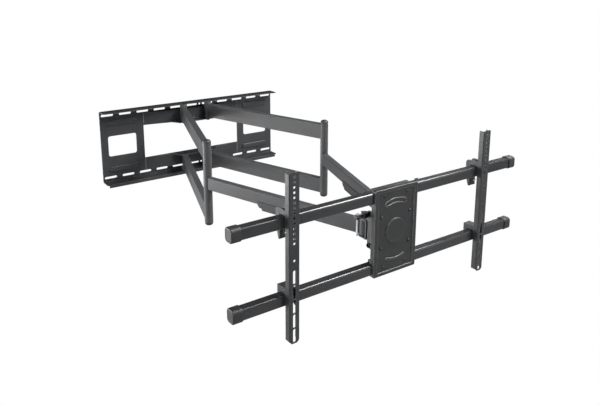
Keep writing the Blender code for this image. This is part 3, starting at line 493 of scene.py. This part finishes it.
def plated(name, dark, light, rough):
    """Bare plated or blackened steel."""
    finish = bpy.data.materials.new(name)
    finish.use_nodes = True
    tree = finish.node_tree
    shader = tree.nodes["Principled BSDF"]
    shader.inputs["Metallic"].default_value = 1.0
    lines = use(tree, BRUSHING, Size=BRUSH_SIZE)
    handling = use(tree, HANDLING, **PLATE_HANDLING)
    tree.links.new(mixed(tree, lines.outputs["Tone"], dark, light), shader.inputs["Base Color"])
    low, high = (rough + change for change in PLATE_GLOSS)
    gloss = add_node(tree, "ShaderNodeMapRange",
                     {"Value": handling.outputs["Mask"], "To Min": low, "To Max": high})
    tree.links.new(gloss.outputs[0], shader.inputs["Roughness"])
    finish.diffuse_color = (*light, 1)
    return finish


# the pale edge colour of each coat is partly wear, partly a painted highlight along its edges
frame_coat = coated("Frame powder coat", dark=(0.019, 0.020, 0.021), light=(0.029, 0.030, 0.032),
                    fleck_rub_and_highlight_colour=(0.24, 0.24, 0.245), rough=0.40, grain=1000.0, depth=0.20, wear=0.8,
                    reach=0.0016)
# the face plate's edges carry a strong painted highlight: a pale line along its rims, disc and arcs
face_coat = coated("Face plate coat", dark=(0.012, 0.012, 0.013), light=(0.020, 0.021, 0.022),
                   fleck_rub_and_highlight_colour=(0.42, 0.42, 0.425), rough=0.34, grain=1000.0, depth=0.16, wear=1.0,
                   reach=0.0022)
arm_coat = coated("Arm powder coat", dark=(0.042, 0.043, 0.045), light=(0.058, 0.059, 0.061),
                  fleck_rub_and_highlight_colour=(0.15, 0.15, 0.155), rough=0.42, grain=1000.0, depth=0.18)
rail_coat = coated("Crossbar satin coat", dark=(0.024, 0.025, 0.026), light=(0.032, 0.033, 0.035),
                   fleck_rub_and_highlight_colour=(0.12, 0.12, 0.125), rough=0.24, grain=1300.0, depth=0.05, uneven=0.015)
cap_plastic = coated("Cap plastic", dark=(0.018, 0.018, 0.019), light=(0.026, 0.026, 0.027),
                     fleck_rub_and_highlight_colour=(0.07, 0.07, 0.07), rough=0.50, grain=1700.0, depth=0.30, wear=0.25)
zinc = plated("Zinc plate", dark=(0.62, 0.63, 0.65), light=(0.84, 0.85, 0.86), rough=0.34)
black_oxide = plated("Black oxide", dark=(0.045, 0.045, 0.048), light=(0.10, 0.10, 0.105), rough=0.36)


# ---------------------------------------------------------------- arms
def barrel(name, radius, low, high, y=0.0):
    """A round welded barrel with eased rims, y metres along the arm."""
    piece = round_piece(name, radius, low, high)
    rounded(piece, level_at(2, low, high), RIM, segments=2)
    return put(piece, (0, y, 0))


def tube(name, length, low, high, inset):
    """A rectangular tube with round corners, running towards -Y from the pivot."""
    half = BAR_WIDTH / 2
    piece = box_piece(name, Vector((-half, inset - length, low)), Vector((half, -inset, high)))
    return rounded(piece, along(1), BAR_CORNER, segments=4)


def swung(piece, start, end):
    """Carries a piece modelled along -Y to the line between two pivots."""
    run = end - start
    piece.rotation_euler = (0, 0, math.atan2(run.x, -run.y))
    piece.location = (start.x, start.y, 0)
    return settle(piece, piece.name)


def concave(edge):
    """True for an edge in an inside corner, such as the line between a tube and its barrel."""
    return len(edge.link_faces) == 2 and edge.calc_face_angle_signed() < INSIDE_CORNER


def inner_arm(side):
    start, end = joint_at[f"{side}_wall_pivot"], joint_at[f"{side}_elbow"]
    length = (end - start).length
    low, high = corners(f"{side}_elbow_sleeve")
    radius = (high.x - low.x) / 2
    for level in LEVELS:
        node = f"{side}_{level}_inner_bar"
        low, high = corners(node)
        spacer, cap = corners(f"{side}_{level}_elbow_spacer"), corners(f"{side}_{level}_elbow_cap")
        elbow = (spacer[1].z, cap[0].z) if level == "upper" else (cap[1].z, spacer[0].z)
        centre = (elbow[0] + elbow[1]) / 2
        bar = tube(f"{node}_finished", length, centre - BAR_HEIGHT / 2, centre + BAR_HEIGHT / 2,
                   radius * INNER_INSET)
        ends = (barrel("wall_end", radius, low.z, high.z), barrel("elbow_end", radius, *elbow, -length))
        bar = merged(bar, "UNION", *ends)
        rounded(bar, concave, WELD, segments=2)
        stand_in(smoothed(swung(bar, start, end)), arm_coat, node)
        post_piece(f"{side}_{level}_elbow_spacer", radius, arm_coat)
        elbow_cap(side, level, radius)
    pin = f"{side}_elbow_pin"
    low, high = corners(pin)
    rod = round_piece(f"{pin}_finished", (high.x - low.x) / 2, low.z, high.z, ROUND_SMALL)
    stand_in(smoothed(put(rod, (end.x, end.y, 0))), zinc, pin)


def post_piece(node, radius, finish):
    """One of the short tubes that are stacked on a pin."""
    low, high = corners(node)
    centre = middle(node)
    piece = barrel(f"{node}_finished", radius, low.z, high.z)
    return stand_in(smoothed(put(piece, (centre.x, centre.y, 0))), finish, node)


def elbow_cap(side, level, radius):
    """A moulded cap: a domed crown over a short skirt."""
    node = f"{side}_{level}_elbow_cap"
    low, high = corners(node)
    centre = middle(node)
    piece = round_piece(f"{node}_finished", radius, low.z, high.z)
    crown, seat = (high.z, low.z) if level == "upper" else (low.z, high.z)
    rounded(piece, level_at(2, crown), CAP_CROWN, segments=8)
    rounded(piece, level_at(2, seat), CAP_LIP, segments=2)
    return stand_in(smoothed(put(piece, (centre.x, centre.y, 0))), cap_plastic, node)


def outer_arm(side):
    sign = SIDES[side]
    start = joint_at[f"{side}_elbow"]
    head = joint_at["left_head_pivot"]
    end = Vector((sign * abs(head.x), head.y, head.z))
    low, high = corners(f"{side}_elbow_sleeve")
    radius = (high.x - low.x) / 2
    node = f"{side}_outer_bar"
    low, high = corners(node)
    bar = tube(f"{node}_finished", (end - start).length, low.z, high.z, radius * OUTER_INSET)
    stand_in(smoothed(swung(bar, start, end)), arm_coat, node)
    post_piece(f"{side}_elbow_sleeve", radius, arm_coat)
    post_piece(f"{side}_head_knuckle", radius, arm_coat)
    dressed(f"{side}_cable_clip", cap_plastic, CLIP_EDGE)


# ---------------------------------------------------------------- crossbars
def crossbar(level):
    """A long tube with round corners, open at both ends under its caps."""
    node = f"{level}_rail"
    low, high = corners(node)
    piece = box_piece(f"{node}_finished", low, high)
    rounded(piece, along(0), RAIL_CORNER, segments=6)
    edit(piece, "faces", level_at(0, low.x, high.x), (bpy.ops.mesh.delete, {"type": "FACE"}))
    applied(piece, "SOLIDIFY", thickness=RAIL_WALL, offset=-1.0)
    stand_in(smoothed(piece), rail_coat, node)


def end_cap(side, level):
    """A moulded cup over the crossbar's end, with a sunk panel in its face."""
    node = f"{side}_{level}_end_cap"
    sign = SIDES[side]
    low, high = corners(node)
    face, mouth = (high.x, low.x) if sign > 0 else (low.x, high.x)
    piece = box_piece(f"{node}_finished", low, high)
    rounded(piece, along(0), END_CORNER, segments=6)
    depth = abs(face - mouth) - END_WALL
    edit(piece, "faces", level_at(0, mouth),
         (bpy.ops.mesh.inset, {"thickness": END_WALL}),
         (bpy.ops.mesh.extrude_region_move,
          {"TRANSFORM_OT_translate": {"value": (sign * depth, 0, 0)}}))
    rounded(piece, level_at(0, face), END_RIM)
    rounded(piece, level_at(0, mouth), END_LEAD, segments=2)
    edit(piece, "faces", level_at(0, face),
         (bpy.ops.mesh.inset, {"thickness": END_FRAME}),
         (bpy.ops.mesh.inset, {"thickness": END_SINK}),
         (bpy.ops.transform.translate, {"value": (-sign * END_SINK, 0, 0)}))
    stand_in(smoothed(piece), cap_plastic, node)


# ---------------------------------------------------------------- screen brackets
def stadium(x, y, z, reach):
    """A cutter for a hole through the web, drawn out into an upright slot where it has a reach."""
    radius = SLOT_RADIUS if reach else HOLE_RADIUS
    piece = round_piece("cutter", radius, -2 * WEB, 2 * WEB)
    piece = put(piece, (x, y, z), (0, -1, 0))
    if reach:
        for way in (1, -1):
            edit(piece, "verts", lambda vert, way=way: (vert.co.z - z) * way > SAME_PLACE,
                 (bpy.ops.transform.translate, {"value": (0, 0, way * reach)}))
    return piece


def screen_bracket(side):
    """A folded channel with a column of holes and long slots in its front web."""
    node = f"{side}_tv_bracket"
    low, high = corners(node)
    x = (low.x + high.x) / 2
    piece = box_piece(f"{node}_finished", low, high)
    rounded(piece, lambda edge: along(1)(edge) and level_at(2, low.z)(edge), FOOT_CHAMFER, segments=1)
    rounded(piece, lambda edge: along(1)(edge) and level_at(2, high.z)(edge), TOP_CHAMFER, segments=1)
    rounded(piece, lambda edge: along(2)(edge) and level_at(1, low.y)(edge), BEND, segments=5)
    space = box_piece("space", Vector((low.x + WEB, low.y + WEB, low.z - WEB)),
                      Vector((high.x - WEB, high.y + WEB, high.z + WEB)))
    rounded(space, lambda edge: along(2)(edge) and level_at(1, low.y + WEB)(edge), BEND - WEB)
    web_y = low.y + WEB / 2
    cutters = [stadium(x, web_y, high.z - FIRST_HOLE - i * HOLE_PITCH, 0) for i in range(HOLES)]
    cutters.append(stadium(x, web_y, high.z - SINGLE_HOLE, 0))
    cutters += [stadium(x, web_y, high.z - FIRST_SLOT - i * SLOT_PITCH, SLOT_LENGTH / 2 - SLOT_RADIUS)
                for i in range(LONG_SLOTS)]
    merged(piece, "DIFFERENCE", space, joined("cutters", *cutters))
    stand_in(smoothed(piece, EDGE / 2), frame_coat, node)
    for part in ("upper_hook", "lower_hook"):
        hook = dressed(f"{side}_{part}", frame_coat)
        applied(hook, "TRIANGULATE", keep_custom_normals=True)
    node = f"{side}_safety_screw"
    low, high = corners(node)
    centre = middle(node)
    thumb = screw(f"{node}_finished", (high.x - low.x) / 2, THUMB_HEAD, THUMB_SHANK,
                  high.y - low.y - THUMB_SEAT, sides=ROUND_SMALL, dome=THUMB_DOME)
    stand_in(put(thumb, (centre.x, high.y - THUMB_SEAT, centre.z), (0, 1, 0)), zinc, node)


# ---------------------------------------------------------------- screws and bolts
def screw(name, head_radius, head_height, shank_radius, length, sides=ROUND, dome=0.0, socket=0.0):
    """A screw with its seat at the origin: the head stands up Z and the shank runs down."""
    head = round_piece("head", head_radius, SCREW_SEAT, head_height, sides)
    top = level_at(2, head_height)
    if dome:
        rounded(head, top, dome, segments=5)
    else:
        rounded(head, top, head_height / PLAIN_CHAMFER, segments=1)
    if socket:
        hollow = round_piece("hollow", socket, head_height - SOCKET_DEPTH, head_height + SOCKET_DEPTH,
                             HEXAGON)
        merged(head, "DIFFERENCE", hollow)
    shank = round_piece("shank", shank_radius, -length, SCREW_SEAT, ROUND_SMALL)
    return smoothed(joined(name, head, shank), SCREW_EDGE)


def domed_screw(name, shape, head_radius, length):
    """A screw of one of the domed shapes, with a hexagon socket."""
    rise, shank_radius, dome, socket = shape
    return screw(name, head_radius, rise, shank_radius, length, dome=dome, socket=socket)


def through_bolt(node, axis, shank_radius):
    """A hexagon bolt with a washer and a nut on its far end."""
    low, high = corners(node)
    centre = middle(node)
    along_axis = Vector(axis)
    half = (high - low).dot(along_axis) / 2
    across = min((high - low)[i] for i in range(3) if not axis[i]) / 2
    bolt = screw(f"{node}_finished", across, BOLT_HEAD, shank_radius, 2 * half - BOLT_HEAD, sides=HEXAGON)
    washer = round_piece("washer", across * WASHER_SPREAD, WASHER_BACK, WASHER_FRONT)
    nut_top = -2 * half + BOLT_HEAD + NUT_HEIGHT
    nut = round_piece("nut", across, nut_top - NUT_HEIGHT, nut_top, HEXAGON)
    rounded(nut, level_at(2, nut_top - NUT_HEIGHT), NUT_HEIGHT / NUT_CHAMFER, segments=1)
    whole = joined(f"{node}_finished", bolt, smoothed(washer, SCREW_EDGE), smoothed(nut, SCREW_EDGE))
    seat = centre + along_axis * (half - BOLT_HEAD)
    return stand_in(put(whole, seat, axis), black_oxide, node)


def head_pin(side):
    """A round-headed pin with a hexagon socket."""
    node = f"{side}_head_pin"
    low, high = corners(node)
    centre = middle(node)
    rise = HEAD_PIN[0]
    pin = domed_screw(f"{node}_finished", HEAD_PIN, (high.x - low.x) / 2, high.z - low.z - rise)
    stand_in(put(pin, (centre.x, centre.y, high.z - rise)), black_oxide, node)


def face_screws():
    """The four domed screws of the levelling joint and the four that hold the crossbars' clamps."""
    rise = FACE_SCREW[0]
    for side, sign in SIDES.items():
        for level in LEVELS:
            node = f"{side}_{level}_face_screw"
            low, high = corners(node)
            centre = middle(node)
            domed = domed_screw(f"{node}_finished", FACE_SCREW, (high.x - low.x) / 2,
                                high.y - low.y - rise)
            seat = (centre.x, low.y + rise, centre.z)
            stand_in(put(domed, seat, (0, -1, 0)), black_oxide, node)
            small = domed_screw(f"{side}_{level}_rail_screw", RAIL_SCREW, RAIL_SCREW_RADIUS,
                                RAIL_SCREW_LENGTH)
            seat = (sign * RAIL_SCREW_X, low.y + rise, middle(f"{level}_rail").z)
            extra(put(small, seat, (0, -1, 0)), black_oxide, "face_plate")


def tilt_stud():
    """The domed stud that the tilt lock turns on."""
    node = "tilt_stud"
    low, high = corners(node)
    centre = middle(node)
    rise = TILT_STUD[0]
    stud = domed_screw(f"{node}_finished", TILT_STUD, (high.y - low.y) / 2, high.x - low.x - rise)
    stand_in(put(stud, (high.x - rise, centre.y, centre.z), (1, 0, 0)), black_oxide, node)


def tilt_lock():
    """The hub on the tilt stud and the bar that hangs in its eye."""
    dressed("tilt_lock_hub", black_oxide, HUB_EDGE, 3)
    node = "tilt_lock_bar"
    low, high = corners(node)
    centre = middle(node)
    radius = (high.x - low.x) / 2
    bar = round_piece(f"{node}_finished", radius, low.z, high.z, ROUND_SMALL)
    rounded(bar, level_at(2, low.z, high.z), radius * LOCK_BAR_CROWN, segments=5)
    stand_in(smoothed(put(bar, (centre.x, centre.y, 0))), zinc, node)


# ---------------------------------------------------------------- whole mount
def build():
    for level in LEVELS:
        dressed(f"{level}_pivot_channel", frame_coat)
    dressed("wall_plate", frame_coat, steps=WALL_STEPS)
    for side in SIDES:
        inner_arm(side)
        outer_arm(side)
        screen_bracket(side)
        head_pin(side)
        for level in LEVELS:
            end_cap(side, level)
            through_bolt(f"{side}_{level}_wall_bolt", (0, 0, 1), WALL_BOLT_SHANK)
    for level in LEVELS:
        crossbar(level)
        dressed(f"{level}_rail_clamp", frame_coat)
    dressed("head_yoke", arm_coat, YOKE_EDGE, 3)
    dressed("tilt_carriage", frame_coat, CARRIAGE_EDGE)
    dressed("level_hub", frame_coat)
    dressed("face_plate", face_coat, None, steps=FACE_STEPS)
    through_bolt("tilt_axle", (1, 0, 0), AXLE_SHANK)
    tilt_stud()
    face_screws()
    tilt_lock()


build()


# ---------------------------------------------------------------- studio
def aim(thing, at, target):
    thing.location = at
    thing.rotation_mode = "QUATERNION"
    thing.rotation_quaternion = (Vector(target) - Vector(at)).to_track_quat("-Z", "Y")


def soft_light(name, at, target, width, height, power):
    data = bpy.data.lights.new(name, "AREA")
    data.shape = "RECTANGLE"
    data.size = width
    data.size_y = height
    data.energy = power
    light = bpy.data.objects.new(name, data)
    light.visible_camera = False
    bpy.context.scene.collection.objects.link(light)
    aim(light, at, target)


def camera():
    data = bpy.data.cameras.new("camera")
    data.lens = CAMERA_LENS
    data.sensor_width = CAMERA_SENSOR
    data.shift_y = CAMERA_SHIFT
    data.clip_end = CAMERA_REACH
    eye = bpy.data.objects.new("camera", data)
    bpy.context.scene.collection.objects.link(eye)
    yaw, pitch, roll = (math.radians(angle) for angle in CAMERA_TURN)
    turn = Matrix.Rotation(yaw, 4, "Z") @ Matrix.Rotation(math.pi / 2 - pitch, 4, "X")
    eye.matrix_world = Matrix.Translation(CAMERA_PLACE) @ turn @ Matrix.Rotation(roll, 4, "Z")
    bpy.context.scene.camera = eye


def floor():
    """A wide pale floor, seen as even as the backdrop."""
    bpy.ops.mesh.primitive_plane_add(size=FLOOR_SIZE, location=FLOOR_PLACE)
    ground = bpy.context.object
    ground.name = "floor"
    pale = bpy.data.materials.new("Pale floor")
    pale.use_nodes = True
    tree = pale.node_tree
    out = tree.nodes["Material Output"]
    path = tree.nodes.new("ShaderNodeLightPath")
    seen = add_node(tree, "ShaderNodeEmission", {"Color": WHITE, "Strength": 1.0})
    shader = tree.nodes["Principled BSDF"]
    shader.inputs["Base Color"].default_value = FLOOR_GREY
    shader.inputs["Roughness"].default_value = FLOOR_ROUGH
    mix = add_node(tree, "ShaderNodeMixShader", {0: path.outputs["Is Camera Ray"],
                                                 1: shader.outputs[0], 2: seen.outputs[0]})
    tree.links.new(mix.outputs[0], out.inputs["Surface"])
    ground.data.materials.append(pale)


def backdrop():
    """White to the eye; the object sees a dark room with a bright side at the front left."""
    world = bpy.data.worlds.new("studio")
    world.use_nodes = True
    bpy.context.scene.world = world
    tree = world.node_tree
    path = tree.nodes.new("ShaderNodeLightPath")
    place = tree.nodes.new("ShaderNodeTexCoord")
    towards = add_node(tree, "ShaderNodeVectorMath", {0: place.outputs["Generated"], 1: BRIGHT_SIDE},
                       operation="DOT_PRODUCT")
    glow = add_node(tree, "ShaderNodeMapRange",
                    {"Value": towards.outputs["Value"], "From Min": -0.3, "From Max": 0.95,
                     "To Min": ROOM_DARK, "To Max": ROOM_BRIGHT})
    fill = add_node(tree, "ShaderNodeBackground", {"Color": ROOM_TINT, "Strength": glow.outputs[0]})
    seen = add_node(tree, "ShaderNodeBackground", {"Color": WHITE, "Strength": 1.0})
    mix = add_node(tree, "ShaderNodeMixShader", {0: path.outputs["Is Camera Ray"],
                                                 1: fill.outputs[0], 2: seen.outputs[0]})
    tree.links.new(mix.outputs[0], tree.nodes["World Output"].inputs["Surface"])


def studio():
    for light in LIGHTS:
        soft_light(*light)
    floor()
    backdrop()
    camera()


studio()
bpy.context.scene.view_settings.view_transform = "Standard"
